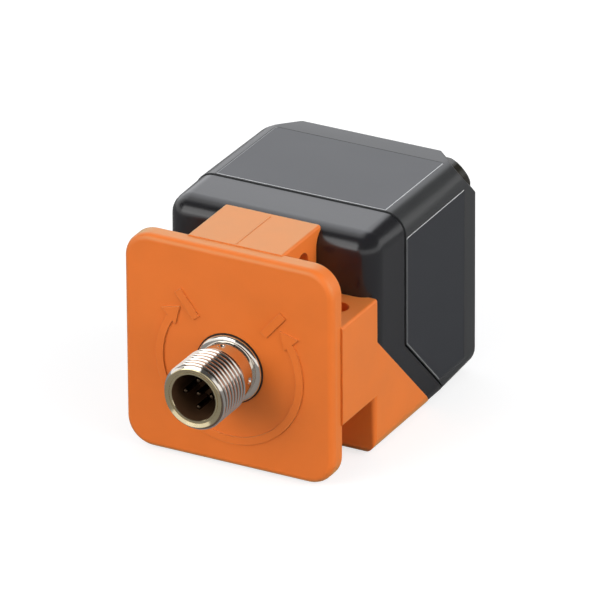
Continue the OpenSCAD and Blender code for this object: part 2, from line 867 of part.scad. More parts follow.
// The turned metal sleeve of the plug, with its thread's outer cylinder and the stop tab
module connector_sleeve() {
    mouth_r = mouth_d / 2;
    lip = tip_len * 0.6;
    thread_r = thread_d / 2;
    collar_r = collar_d / 2;
    flange_r = flange_d / 2;
    groove_r = shank_r - clip_groove;
    seat_r = shank_r - o_ring_t;
    seat_half = o_ring_t / 2 + seat_gap;
    color("#c9b27a") at_origin() {
        difference() {
            plug_turned() polygon([
                [mouth_r + lip, tip_y],
                [tip_d / 2 - lip, tip_y],
                [tip_d / 2, tip_y + lip],
                [thread_r, thread_y + thread_r - tip_d / 2],
                [thread_r, collar_y - thread_r + collar_r],
                [collar_r, collar_y],
                [collar_r, flange_y - flange_t],
                [flange_r - flange_bevel, flange_y - flange_t],
                [flange_r, flange_y - flange_t + flange_bevel],
                [flange_r, flange_y],
                [shank_r, flange_y],
                [shank_r, o_ring_y - seat_half],
                [seat_r, o_ring_y - seat_half],
                [seat_r, o_ring_y + seat_half],
                [shank_r, o_ring_y + seat_half],
                [shank_r, groove_y],
                [groove_r, groove_y],
                [groove_r, groove_y + clip_t + 2 * seat_gap],
                [shank_r, groove_y + clip_t + 2 * seat_gap],
                [shank_r, shank_y],
                [mouth_r, shank_y],
                [mouth_r, tip_y + lip]
            ]);
            punch_marks();
        }
        plug_turned(270 - tab_half, 2 * tab_half)
            translate([shank_r - sink, tab_y]) square([tab_r - shank_r + sink, tab_len]);
    }
}

// Four shallow punch marks round the collar
module punch_marks() {
    for (turn = [0, 90, 180, 270]) {
        translate([plug_x, (collar_y + flange_y - flange_t) / 2, plug_z]) rotate([0, turn, 0])
            translate([collar_d / 2 + punch_d * 0.15, 0, 0]) sphere(d = punch_d);
    }
}

// The insert that holds the five contacts, with the coding key along the mouth
module contact_carrier() {
    key_y = pin_tip_y + seat_gap * 2;
    color("#202024") at_origin() difference() {
        union() {
            plug_rod(carrier_r, insert_y, shank_y);
            intersection() {
                plug_rod(carrier_r, key_y, insert_y + over);
                translate([plug_x, 0, plug_z]) rotate([0, -45, 0])
                    translate([carrier_r - key_h, key_y, -key_w / 2])
                    cube([2 * key_h, mouth_depth, key_w]);
            }
        }
        for (place = pin_places) {
            translate([place[0], 0, place[1]]) plug_rod((pin_d + seat_gap) / 2, tip_y, shank_y + over);
        }
    }
}

// One contact: a pin with a round tip, run through the insert to its tail
module contact_pin(index) {
    r = pin_d / 2;
    place = pin_places[index];
    color("#d8b45a") at_origin() translate([place[0], 0, place[1]]) {
        plug_rod(r, pin_tip_y + r, pin_tail_y);
        translate([plug_x, pin_tip_y + r, plug_z]) sphere(r);
    }
}

// The open spring ring that keeps the shank in its bore
module sleeve_clip() {
    opening = 50;
    inner_r = shank_r - clip_groove + seat_gap / 2;
    color("#9a9da2") at_origin() plug_turned(90 + opening / 2, 360 - opening)
        translate([inner_r, clip_y]) square([clip_r - inner_r, clip_t]);
}

// The O-ring in the shank's groove, which seals the bore and holds the plug at its angle
module shank_o_ring() {
    r = (o_ring_t - running_fit) / 2;
    color("#101012") at_origin() plug_turned() translate([shank_r - o_ring_t / 2 + running_fit / 2, o_ring_y])
        circle(r);
}

// The flat seal between plate and flange
module flange_seal() {
    color("#141416") at_origin() plug_turned()
        translate([seal_r - seal_w, seal_y]) square([seal_w, seal_t]);
}

// The four screws from the shell's floor into the wedge's bosses
module floor_screws() {
    color("#8d9096") at_origin() at_screws() translate([0, 0, floor_t + seat_gap]) difference() {
        union() {
            cylinder(d = screw_head_d, h = screw_head_h);
            translate([0, 0, -screw_len]) cylinder(d = screw_d, h = screw_len + eps);
        }
        translate([0, 0, screw_head_h / 2]) cylinder(d = screw_head_d / 2, h = screw_head_h, $fn = 6);
    }
}

// The circuit board on its rails
module main_board() {
    color("#1f5a38") at_origin()
        translate([-board_half, board_y, board_z]) cube([2 * board_half, board_end - board_y, board_t]);
}

// A chip under the board: a flat body with a row of legs on both sides
module chip(x, y, w, l, h, legs) {
    pitch = l / legs;
    translate([x - w / 2, y - l / 2, board_z - h]) cube([w, l, h - seat_gap]);
    for (side = [-1, 1], i = [0:legs - 1]) {
        leg_y = y - l / 2 + (i + 0.5) * pitch;
        translate([x + side * (w + chip_leg_reach) / 2, leg_y, board_z - chip_leg_t / 2])
            cube([chip_leg_reach + 2 * seat_gap, chip_leg_w, chip_leg_t], center = true);
    }
}

// The oscillator and evaluation chip
module sensor_chip() {
    color("#1b1b1d") at_origin()
        chip(0, chip_y + sensor_chip_l / 8, sensor_chip_w, sensor_chip_l, sensor_chip_h, 7);
}

// The output switch
module output_chip() {
    color("#1d1d20") at_origin()
        chip(board_half * 0.55, chip_y, output_chip_w, output_chip_l, output_chip_h, 3);
}

// Three buffer capacitors under the board
module capacitors() {
    color("#b9bcc2") at_origin() for (i = [-1, 0, 1]) {
        translate([-board_half * 0.55, chip_y + i * capacitor_pitch, board_z - capacitor_h])
            cylinder(d = capacitor_d, h = capacitor_h);
    }
}

// The ferrite pot core, open towards the sensing face
module ferrite_core() {
    color("#35363a") at_origin() difference() {
        translate([0, core_end, core_z]) rotate([90, 0, 0]) difference() {
            cylinder(d = core_d, h = core_len);
            translate([0, 0, -over]) difference() {
                cylinder(d = core_d - 2 * core_wall, h = core_len - core_floor + over);
                cylinder(d = core_post_d, h = core_len);
            }
            translate([0, 0, -over]) cylinder(d = core_hole_d, h = core_len + 2 * over);
        }
        translate([-core_slot_w / 2, well_y, core_z + core_d / 2 - core_wall - over])
            cube([core_slot_w, core_len, core_wall + 2 * over]);
    }
}

// The bobbin on the core's centre post
module coil_bobbin() {
    color("#d9d4c4") at_origin() translate([0, bobbin_y, core_z]) rotate([-90, 0, 0])
        rotate_extrude() {
            translate([bobbin_in_r, 0]) square([bobbin_t, bobbin_end - bobbin_y]);
            translate([bobbin_in_r, 0]) square([bobbin_r - bobbin_in_r, bobbin_t]);
            translate([bobbin_in_r, bobbin_end - bobbin_y - bobbin_t])
                square([bobbin_r - bobbin_in_r, bobbin_t]);
        }
}

// The copper winding between the bobbin's flanges
module coil_winding() {
    slack = bobbin_t + seat_gap / 2;
    color("#b0642f") at_origin() translate([0, bobbin_y + slack, core_z]) rotate([-90, 0, 0])
        rotate_extrude() translate([winding_in_r, 0])
            square([winding_r - winding_in_r, bobbin_end - bobbin_y - 2 * slack]);
}

// The coil's two end wires, from the winding to the board
module coil_leads() {
    wire_y = (bobbin_y + bobbin_end) / 2;
    low_z = core_z + sqrt(winding_r * winding_r - coil_wire_pitch * coil_wire_pitch / 4) + coil_wire_d / 2;
    color("#b8713a") at_origin() for (side = [-1, 1]) {
        translate([side * coil_wire_pitch / 2, wire_y, low_z])
            cylinder(d = coil_wire_d, h = board_z - low_z);
    }
}

// One lead: back from a pin's tail, round a bend and up to the board
module lead(index) {
    shades = ["#8a5a34", "#f0f0ee", "#2b4c9b", "#1a1a1c", "#8d9095"];
    place = pin_places[index];
    row = round(place[1] / (pin_circle_d / 2));
    rise_y = lead_y + (1 - row) * lead_pitch;
    start_y = pin_tail_y + lead_d / 4;
    bend_y = rise_y - lead_bend_r;
    x = plug_x + place[0];
    z = plug_z + place[1];
    color(shades[index]) at_origin() {
        translate([x, bend_y, z]) rotate([90, 0, 0]) cylinder(d = lead_d, h = bend_y - start_y);
        translate([x, bend_y, z + lead_bend_r]) rotate([0, 90, 0])
            rotate_extrude(angle = 90) translate([lead_bend_r, 0]) circle(d = lead_d);
        translate([x, rise_y, z + lead_bend_r]) cylinder(d = lead_d, h = board_z - z - lead_bend_r);
    }
}

// Moves the whole sensor so that the origin lies under the middle of its length
module at_origin() {
    translate([0, -mid_y, 0]) children();
}

base_body();
front_shell();
rear_housing();
label_top();
label_side();
lens(-1);  // led_lens_left
lens(1);  // led_lens_right
led(-1);  // led_left
led(1);  // led_right
connector_sleeve();
contact_carrier();
contact_pin(0);  // contact_pin_1
contact_pin(1);  // contact_pin_2
contact_pin(2);  // contact_pin_3
contact_pin(3);  // contact_pin_4
contact_pin(4);  // contact_pin_5
sleeve_clip();
shank_o_ring();
flange_seal();
floor_screws();
main_board();
sensor_chip();
output_chip();
capacitors();
ferrite_core();
coil_bobbin();
coil_winding();
coil_leads();
lead(0);  // lead_1
lead(1);  // lead_2
lead(2);  // lead_3
lead(3);  // lead_4
lead(4);  // lead_5
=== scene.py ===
import math

import bmesh
import bpy
from mathutils import Matrix, Vector


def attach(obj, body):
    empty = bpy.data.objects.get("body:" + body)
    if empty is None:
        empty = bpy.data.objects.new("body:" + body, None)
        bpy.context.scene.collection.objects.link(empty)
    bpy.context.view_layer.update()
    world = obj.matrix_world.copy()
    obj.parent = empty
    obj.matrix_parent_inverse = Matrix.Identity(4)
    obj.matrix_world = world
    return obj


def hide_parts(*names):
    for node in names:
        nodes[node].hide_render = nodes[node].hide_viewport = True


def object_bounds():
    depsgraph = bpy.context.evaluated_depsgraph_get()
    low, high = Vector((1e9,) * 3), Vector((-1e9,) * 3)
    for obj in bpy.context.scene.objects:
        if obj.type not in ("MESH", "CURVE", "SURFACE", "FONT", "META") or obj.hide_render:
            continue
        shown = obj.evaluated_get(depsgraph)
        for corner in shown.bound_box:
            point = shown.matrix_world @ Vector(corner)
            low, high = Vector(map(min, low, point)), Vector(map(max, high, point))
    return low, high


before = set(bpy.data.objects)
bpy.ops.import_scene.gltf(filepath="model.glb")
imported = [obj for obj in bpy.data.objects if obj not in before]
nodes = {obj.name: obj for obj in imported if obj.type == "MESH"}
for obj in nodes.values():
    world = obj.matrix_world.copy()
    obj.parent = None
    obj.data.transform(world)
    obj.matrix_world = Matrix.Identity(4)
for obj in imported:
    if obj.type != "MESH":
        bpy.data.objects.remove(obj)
cad_low, cad_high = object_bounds()

MM = 0.001
WHITE = (1, 1, 1, 1)
# The part's source counts the length from the plate's front, in millimetres: the frame's origin lies this
# far behind it, and the plug's tip this far before it
MID_Y = 19.95
PLUG_LEN = 13.1

# Camera: the photograph's view, fitted to the plate, the neck and the head
PHOTO_PIXELS = 600
SENSOR_MM = 36
VIEW_AZIMUTH = math.radians(28.119)
VIEW_ELEVATION = math.radians(25.755)
VIEW_ROLL = math.radians(-0.384)
VIEW_DISTANCE = 1504 * MM
NEAREST = 0.1
FURTHEST = 20
PIXELS_PER_MM = 5.9174
AIM_PIXEL = (228.09, 359.16)
AIM_HEIGHT = 20.5
AIM_POINT = Vector((0, cad_low.y + PLUG_LEN * MM, AIM_HEIGHT * MM))


def make_camera():
    """The camera looks past the plate's middle, which lands on its own pixel of the photograph."""
    back = Vector((
        math.sin(VIEW_AZIMUTH) * math.cos(VIEW_ELEVATION),
        -math.cos(VIEW_AZIMUTH) * math.cos(VIEW_ELEVATION),
        math.sin(VIEW_ELEVATION),
    ))
    level = Vector((math.cos(VIEW_AZIMUTH), math.sin(VIEW_AZIMUTH), 0))
    rise = back.cross(level)
    right = level * math.cos(VIEW_ROLL) + rise * math.sin(VIEW_ROLL)
    up = rise * math.cos(VIEW_ROLL) - level * math.sin(VIEW_ROLL)
    off_right = (AIM_PIXEL[0] - PHOTO_PIXELS / 2) / PIXELS_PER_MM * MM
    off_up = -(AIM_PIXEL[1] - PHOTO_PIXELS / 2) / PIXELS_PER_MM * MM
    data = bpy.data.cameras.new("camera")
    data.sensor_width = SENSOR_MM
    data.lens = PIXELS_PER_MM * VIEW_DISTANCE / MM * SENSOR_MM / PHOTO_PIXELS
    data.clip_start = NEAREST
    data.clip_end = FURTHEST
    camera = bpy.data.objects.new("camera", data)
    bpy.context.scene.collection.objects.link(camera)
    turn = Matrix((right, up, back)).transposed().to_4x4()
    place = AIM_POINT + back * VIEW_DISTANCE - right * off_right - up * off_up
    camera.matrix_world = Matrix.Translation(place) @ turn
    bpy.context.scene.camera = camera


# Soft square lamps: name, place and size in metres, power in watts and colour, and the point that all face
LAMPS = [
    ("key_box", (-0.40, -0.68, 0.46), 0.5, 1.75, (1, 1, 1)),
    ("back_box", (-0.58, 0.62, 0.57), 1.1, 2.9, (0.88, 0.91, 1)),
]
LAMP_AIM = (0, 0, 0.02)


def make_lamps():
    """The key lamp at the front left and the back lamp at the rear left."""
    for name, place, size, power, colour in LAMPS:
        data = bpy.data.lights.new(name, "AREA")
        data.shape = "SQUARE"
        data.size = size
        data.energy = power
        data.color = colour
        lamp = bpy.data.objects.new(name, data)
        bpy.context.scene.collection.objects.link(lamp)
        lamp.location = place
        lamp.rotation_mode = "QUATERNION"
        lamp.rotation_quaternion = (Vector(LAMP_AIM) - Vector(place)).to_track_quat("-Z", "Y")


def node_of(tree, kind, **values):
    """Adds a node and sets its plain attributes."""
    made = tree.nodes.new(kind)
    for key, value in values.items():
        setattr(made, key, value)
    return made


def link(tree, output, socket):
    tree.links.new(output, socket)


def feed(tree, value, socket):
    """Gives a socket a number, or links another socket to it."""
    if isinstance(value, (int, float)):
        socket.default_value = value
    else:
        link(tree, value, socket)


def maths(tree, operation, first, second):
    """Adds a calculation with two values, each a socket or a number."""
    made = node_of(tree, "ShaderNodeMath", operation=operation)
    feed(tree, first, made.inputs[0])
    feed(tree, second, made.inputs[1])
    return made.outputs[0]


def eased(tree, value, span, start, end):
    """Adds a soft step of a value from one level to another over a span."""
    made = node_of(tree, "ShaderNodeMapRange", interpolation_type="SMOOTHSTEP")
    link(tree, value, made.inputs["Value"])
    settings = {"From Min": span[0], "From Max": span[1], "To Min": start, "To Max": end}
    for key, number in settings.items():
        made.inputs[key].default_value = number
    return made.outputs["Result"]


def white_light(tree, strength):
    """Adds a white background whose strength is a socket or a number."""
    made = node_of(tree, "ShaderNodeBackground")
    made.inputs["Color"].default_value = WHITE
    feed(tree, strength, made.inputs["Strength"])
    return made.outputs[0]


def grey_surface(tree, grey):
    """Adds a dull grey surface."""
    made = node_of(tree, "ShaderNodeBsdfDiffuse")
    made.inputs["Color"].default_value = (grey, grey, grey, 1)
    return made.outputs[0]


def mixed(tree, share, first, second):
    """Adds a mix of two shaders."""
    made = node_of(tree, "ShaderNodeMixShader")
    link(tree, share, made.inputs["Fac"])
    link(tree, first, made.inputs[1])
    link(tree, second, made.inputs[2])
    return made.outputs[0]


# What diffuse rays see: an even sky and soft lobes, each with its direction, sharpness and strength
SKY_LEVEL = 0.28
SOFT_WALLS = [((0.96, 0.02, 0.26), 7, 5.0), ((-0.38, -0.87, 0.28), 8, 3.0)]
# What glossy rays see: white up to the band's top, white at the back left, and a dark ceiling
BAND_TOP = (0.28, 0.42)
LEFT_EDGE = (-0.2, 0.05)
BACK_EDGE = (-0.2, 0)
HIGH_LEVEL = 1.1
CEILING = 0.07


def make_world():
    """White to the camera, soft light for what is dull and a white band round the horizon for what shines."""
    world = bpy.data.worlds.new("studio")
    bpy.context.scene.world = world
    world.use_nodes = True
    # Sampled as a light, the world couldn't tell glossy rays from diffuse ones
    world.cycles.sampling_method = "NONE"
    tree = world.node_tree
    tree.nodes.clear()
    out = node_of(tree, "ShaderNodeOutputWorld")
    path = node_of(tree, "ShaderNodeLightPath")
    direction = node_of(tree, "ShaderNodeTexCoord").outputs["Generated"]
    split = node_of(tree, "ShaderNodeSeparateXYZ")
    link(tree, direction, split.inputs["Vector"])

    low_band = eased(tree, split.outputs["Z"], BAND_TOP, 1, 0)
    left = eased(tree, split.outputs["X"], LEFT_EDGE, 1, 0)
    behind = eased(tree, split.outputs["Y"], BACK_EDGE, 0, 1)
    high = maths(tree, "MULTIPLY", maths(tree, "MULTIPLY", left, behind), HIGH_LEVEL)
    bright = maths(tree, "MAXIMUM", low_band, high)
    around = white_light(tree, maths(tree, "MAXIMUM", bright, CEILING))

    level = SKY_LEVEL
    for wall, sharpness, strength in SOFT_WALLS:
        toward = node_of(tree, "ShaderNodeVectorMath", operation="DOT_PRODUCT")
        link(tree, direction, toward.inputs[0])
        toward.inputs[1].default_value = Vector(wall).normalized()
        lobe = maths(tree, "POWER", maths(tree, "MAXIMUM", toward.outputs["Value"], 0), sharpness)
        level = maths(tree, "ADD", maths(tree, "MULTIPLY", lobe, strength), level)
    soft = white_light(tree, level)

    shiny = maths(tree, "MAXIMUM", path.outputs["Is Glossy Ray"], path.outputs["Is Transmission Ray"])
    unseen = mixed(tree, shiny, soft, around)
    seen = mixed(tree, path.outputs["Is Camera Ray"], unseen, white_light(tree, 1))
    link(tree, seen, out.inputs["Surface"])


# The floor's half width and its depth below the sensor, in metres
FLOOR_REACH = 3
FLOOR_DROP = 0.02 * MM
# Its grey to light and reflections, then its grey and glow to the camera
FLOOR_ALBEDO = 0.27
FLOOR_SHADE = 0.42
FLOOR_GLOW = 0.70


def make_floor():
    """A wide pale floor, white to the camera, that keeps the sensor's soft shadow."""
    mesh = bpy.data.meshes.new("floor")
    corners = [(x * FLOOR_REACH, y * FLOOR_REACH, 0) for x, y in ((-1, -1), (1, -1), (1, 1), (-1, 1))]
    mesh.from_pydata(corners, [], [(0, 1, 2, 3)])
    floor = bpy.data.objects.new("floor", mesh)
    floor.location.z = -FLOOR_DROP
    bpy.context.scene.collection.objects.link(floor)
    material = bpy.data.materials.new("floor")
    material.use_nodes = True
    tree = material.node_tree
    tree.nodes.clear()
    out = node_of(tree, "ShaderNodeOutputMaterial")
    path = node_of(tree, "ShaderNodeLightPath")
    glow = node_of(tree, "ShaderNodeEmission")
    glow.inputs["Color"].default_value = WHITE
    glow.inputs["Strength"].default_value = FLOOR_GLOW
    seen = node_of(tree, "ShaderNodeAddShader")
    link(tree, grey_surface(tree, FLOOR_SHADE), seen.inputs[0])
    link(tree, glow.outputs[0], seen.inputs[1])
    through = maths(tree, "MAXIMUM", path.outputs["Is Camera Ray"], path.outputs["Is Transmission Ray"])
    link(tree, mixed(tree, through, grey_surface(tree, FLOOR_ALBEDO), seen.outputs[0]), out.inputs["Surface"])
    mesh.materials.append(material)


# The cloud's values at the two tones, then for either kind of material the cloud's size and detail, the
# share of the roughness at the cloud's ends, and the depth of the fine relief
CLOUD_SPAN = (0.3, 0.7)
PLASTIC_CLOUD_MM = 9
PLASTIC_CLOUD_DETAIL = 3
PLASTIC_POLISH = (0.92, 1.08)
GRAIN_DEPTH_MM = 0.02
METAL_CLOUD_MM = 3
METAL_CLOUD_DETAIL = 4
METAL_POLISH = (0.8, 1.25)
METAL_VARIATION = 0.06
RING_DEPTH_MM = 0.01
# The rings' noise runs this much slower across the turning axis than along it
RING_STRETCH = 0.1
EDGE_SAMPLES = 6


def new_material(name):
    """A new material, its tree, its shader and the object's own coordinates."""
    material = bpy.data.materials.new(name)
    material.use_nodes = True
    tree = material.node_tree
    place = node_of(tree, "ShaderNodeTexCoord").outputs["Object"]
    return material, tree, tree.nodes["Principled BSDF"], place


def noise(tree, place, size_mm, detail=2):
    """Adds a noise with features of a size."""
    made = node_of(tree, "ShaderNodeTexNoise")
    made.inputs["Scale"].default_value = 1 / (size_mm * MM)
    made.inputs["Detail"].default_value = detail
    link(tree, place, made.inputs["Vector"])
    return made.outputs["Fac"]


def add_clouds(tree, shader, cloud, low, high, roughness, polish):
    """Lets the colour run between two tones, and the roughness with it."""
    ramp = node_of(tree, "ShaderNodeValToRGB")
    for element, position, colour in zip(ramp.color_ramp.elements, CLOUD_SPAN, (low, high)):
        element.position = position
        element.color = (*colour, 1)
    link(tree, cloud, ramp.inputs["Fac"])
    link(tree, ramp.outputs["Color"], shader.inputs["Base Color"])
    rough = node_of(tree, "ShaderNodeMapRange")
    rough.inputs["To Min"].default_value = roughness * polish[0]
    rough.inputs["To Max"].default_value = roughness * polish[1]
    link(tree, cloud, rough.inputs["Value"])
    link(tree, rough.outputs["Result"], shader.inputs["Roughness"])


def add_relief(tree, shader, pattern, height, depth_mm, edge_mm=0):
    """Adds a fine relief from a pattern, and softens the edges if they have a radius."""
    bump = node_of(tree, "ShaderNodeBump")
    bump.inputs["Strength"].default_value = height
    bump.inputs["Distance"].default_value = depth_mm * MM
    link(tree, pattern, bump.inputs["Height"])
    if edge_mm:
        soft = node_of(tree, "ShaderNodeBevel", samples=EDGE_SAMPLES)
        soft.inputs["Radius"].default_value = edge_mm * MM
        link(tree, soft.outputs["Normal"], bump.inputs["Normal"])
    link(tree, bump.outputs["Normal"], shader.inputs["Normal"])


def plastic(name, colour, roughness, grain_mm=0.25, grain_height=0.2, variation=0.04, edge_mm=0, **sockets):
    """Moulded plastic: a slightly uneven colour, a fine grain and soft edges."""
    material, tree, shader, place = new_material(name)
    for key, value in sockets.items():
        shader.inputs[key.replace("_", " ")].default_value = value
    cloud = noise(tree, place, PLASTIC_CLOUD_MM, PLASTIC_CLOUD_DETAIL)
    low = [c * (1 - variation) for c in colour]
    high = [c * (1 + variation) for c in colour]
    add_clouds(tree, shader, cloud, low, high, roughness, PLASTIC_POLISH)
    add_relief(tree, shader, noise(tree, place, grain_mm), grain_height, GRAIN_DEPTH_MM, edge_mm)
    return material


def metal(name, colour, roughness, brush_mm=0.05, brush_height=0.1):
    """Turned metal: fine rings round the turning axis and a slightly uneven polish."""
    material, tree, shader, place = new_material(name)
    shader.inputs["Metallic"].default_value = 1
    cloud = noise(tree, place, METAL_CLOUD_MM, METAL_CLOUD_DETAIL)
    low = [c * (1 - METAL_VARIATION) for c in colour]
    add_clouds(tree, shader, cloud, low, colour, roughness, METAL_POLISH)
    stretch = node_of(tree, "ShaderNodeMapping")
    stretch.inputs["Scale"].default_value = (RING_STRETCH, 1, RING_STRETCH)
    link(tree, place, stretch.inputs["Vector"])
    rings = noise(tree, stretch.outputs["Vector"], brush_mm)
    add_relief(tree, shader, rings, brush_height, RING_DEPTH_MM)
    return material


def paint(name, material):
    """Gives a CAD node its material."""
    mesh = nodes[name].data
    mesh.materials.clear()
    mesh.materials.append(material)


# How near points are joined, how blunt an edge runs smooth, and how much large faces count in the normals
JOIN_MM = 0.001
SHARP_DEGREES = 24
WEIGHT = 60


def smoothing_group():
    """A modifier's nodes: they join the points that faces share and keep only the sharper edges sharp."""
    group = bpy.data.node_groups.new("joined_smooth", "GeometryNodeTree")
    group.interface.new_socket("Geometry", in_out="INPUT", socket_type="NodeSocketGeometry")
    group.interface.new_socket("Geometry", in_out="OUTPUT", socket_type="NodeSocketGeometry")
    start = node_of(group, "NodeGroupInput")
    end = node_of(group, "NodeGroupOutput")
    join = node_of(group, "GeometryNodeMergeByDistance")
    join.inputs["Distance"].default_value = JOIN_MM * MM
    faces = node_of(group, "GeometryNodeSetShadeSmooth", domain="FACE")
    faces.inputs["Shade Smooth"].default_value = True
    all_edges = node_of(group, "GeometryNodeSetShadeSmooth", domain="EDGE")
    all_edges.inputs["Shade Smooth"].default_value = False
    soft_edges = node_of(group, "GeometryNodeSetShadeSmooth", domain="EDGE")
    soft_edges.inputs["Shade Smooth"].default_value = True
    angle = node_of(group, "GeometryNodeInputMeshEdgeAngle")
    below = node_of(group, "FunctionNodeCompare", data_type="FLOAT", operation="LESS_THAN")
    below.inputs[1].default_value = math.radians(SHARP_DEGREES)
    link(group, start.outputs[0], join.inputs["Geometry"])
    link(group, join.outputs["Geometry"], faces.inputs["Geometry"])
    link(group, faces.outputs["Geometry"], all_edges.inputs["Geometry"])
    link(group, all_edges.outputs["Geometry"], soft_edges.inputs["Geometry"])
    link(group, angle.outputs["Unsigned Angle"], below.inputs[0])
    link(group, below.outputs["Result"], soft_edges.inputs["Selection"])
    link(group, soft_edges.outputs["Geometry"], end.inputs[0])
    return group


def smooth(obj, group):
    """Rounded faces run smooth, sharp edges stay, and flat faces stay flat."""
    joined = obj.modifiers.new("joined", "NODES")
    joined.node_group = group
    weigh = obj.modifiers.new("weigh", "WEIGHTED_NORMAL")
    weigh.keep_sharp = True
    weigh.weight = WEIGHT


def put(name, verts, faces, materials, body, marks):
    """A piece made from points in millimetres in the frame; marks gives the material of each face."""
    mesh = bpy.data.meshes.new(name)
    mesh.from_pydata([Vector(v) * MM for v in verts], [], faces)
    for material in materials:
        mesh.materials.append(material)
    for polygon, mark in zip(mesh.polygons, marks):
        polygon.material_index = mark
    mesh.validate()
    piece = bpy.data.objects.new(name, mesh)
    bpy.context.scene.collection.objects.link(piece)
    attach(piece, body)
    return piece


# The plug's turned sleeve, in millimetres, as in the part's source
PLUG_X = 0.3
PLUG_Z = 18.9
TIP_Y = -PLUG_LEN
THREAD_START = -12.9
THREAD_R = 6
THREAD_TIP_R = 5.45
COLLAR_START = -4.5
COLLAR_R = 5.3
FLANGE_FRONT = -0.95
FLANGE_BACK = -0.3
FLANGE_R = 6.2
SHANK_R = 5.6
SHANK_END = 11.3
RING_GROOVE = (3.8, 5)
RING_GROOVE_R = 4.6
CLIP_GROOVE = (8.1, 9.1)
CLIP_GROOVE_R = 5.1
MOUTH_R = 4.35
# The stop tab: its front, outer radius, half angle in degrees, depth in the shank, place in turns and steps
TAB_Y = 9.9
TAB_R = 7.1
TAB_HALF = 12
TAB_SINK = 0.3
TAB_TURN = 0.5
TAB_STEPS = 6

# The thread, which the source leaves plain: pitch, depth, and the crest's and root's shares of the pitch
THREAD_PITCH = 1
THREAD_DEPTH = 0.54
THREAD_CREST = 0.24
THREAD_ROOT = 0.16
# Its rounded edges, as shares of the pitch and of the depth: inwards from the crest's edge, the point in
# the flank, and outwards from the root's edge
CREST_ROUND = [(0, 0.16), (0.03, 0.05), (0.07, 0)]
FLANK_POINT = (0.3, 0.4)
ROOT_ROUND = [(0.03, 0.92), (-0.02, 1)]
# The thread's grooves get painted shade, a darker metal, below this share of the depth
ROOT_SHADE_SHARE = 0.35
# How steeply the tip's chamfer rises
TIP_SLOPE = 1.6

# The lip's steps from its hole outwards, each with its distance from the hole and from the tip
LIP_R = 4.2
LIP_STEPS = [(0, 0.3), (0.07, 0.22), (0.4, 0.24), (0.42, 0.32), (0.5, 0.32), (0.52, 0.24)]
# How far behind the tip the hole ends and the mouth begins, and the bevel of the tip's outer edge
LIP_BACK = 0.7
MOUTH_FRONT = 0.9
TIP_EDGE = (0.12, 0.06)
# The flange's face outwards: the flat beside the collar, then distances from the rim and from the front
FLANGE_FLAT = 0.06
FLANGE_STEPS = [(0.35, 0.17), (0.17, 0.29), (0.06, 0.45)]
# The punch marks: how many, the ball's radius and how far outside the collar its middle lies
PUNCH_COUNT = 4
PUNCH_R = 0.6
PUNCH_OUT = 0.18

# Steps round the sleeve and along the collar, and the limits for sharp edges and for joining points
SLEEVE_STEPS = 160
COLLAR_SPACING = 0.1
SLEEVE_SHARP_DEGREES = 28
SAME_POINT_MM = 0.0005
NO_LENGTH_MM = 0.0002
# The sleeve's materials, in their order on the mesh; the last is the painted shade in the thread's grooves
SKIN, LIP, BORE, ROOT_SHADE = range(4)


def thread_phases():
    """Where along one pitch the thread's section bends, and how deep its groove is there."""
    flank = (1 - THREAD_CREST - THREAD_ROOT) / 2
    low = THREAD_CREST + flank
    high = low + THREAD_ROOT
    share, depth = FLANK_POINT
    return [
        *CREST_ROUND,
        *[(THREAD_CREST - along, fall) for along, fall in reversed(CREST_ROUND)],
        (THREAD_CREST + flank * share, depth),
        *[(low - along, fall) for along, fall in ROOT_ROUND],
        *[(high + along, fall) for along, fall in reversed(ROOT_ROUND)],
        (high + flank * (1 - share), depth),
    ]


def ring_point(r, y, turn):
    """A point at a radius, a place along the plug and an angle in turns, in the frame's millimetres."""
    a = 2 * math.pi * turn
    return (PLUG_X + r * math.sin(a), y - MID_Y, PLUG_Z + r * math.cos(a))


def collar_radius(y, turn):
    """The collar's radius, pressed in by a ball at each punch mark."""
    off = ((turn * PUNCH_COUNT + 0.5) % 1 - 0.5) / PUNCH_COUNT * 2 * math.pi
    middle = (COLLAR_START + FLANGE_FRONT) / 2
    left = PUNCH_R ** 2 - (y - middle) ** 2 - (COLLAR_R * math.sin(off)) ** 2
    if left > PUNCH_OUT ** 2:
        return COLLAR_R + PUNCH_OUT - math.sqrt(left)
    return COLLAR_R


def add_rings(bm, rings, mark):
    """Joins rings of points with faces of one material."""
    rows = [[bm.verts.new(Vector(p) * MM) for p in ring] for ring in rings]
    for low, high in zip(rows, rows[1:]):
        for k in range(SLEEVE_STEPS):
            m = (k + 1) % SLEEVE_STEPS
            bm.faces.new((low[k], low[m], high[m], high[k])).material_index = mark


def add_outline(bm, line, mark):
    """A turned surface from a line of radii and places along the plug."""
    add_rings(bm, [[ring_point(r, y, k / SLEEVE_STEPS) for k in range(SLEEVE_STEPS)] for r, y in line], mark)


def thread_point(share, depth, turn):
    """A point of the thread, cut off by the tip's chamfer and the collar's."""
    y = THREAD_START + (share + turn) * THREAD_PITCH
    y = min(max(y, THREAD_START), COLLAR_START)
    tip_r = THREAD_TIP_R + (y - THREAD_START) * TIP_SLOPE
    end_r = COLLAR_R + COLLAR_START - y
    return ring_point(min(tip_r, end_r, THREAD_R - depth * THREAD_DEPTH), y, turn)


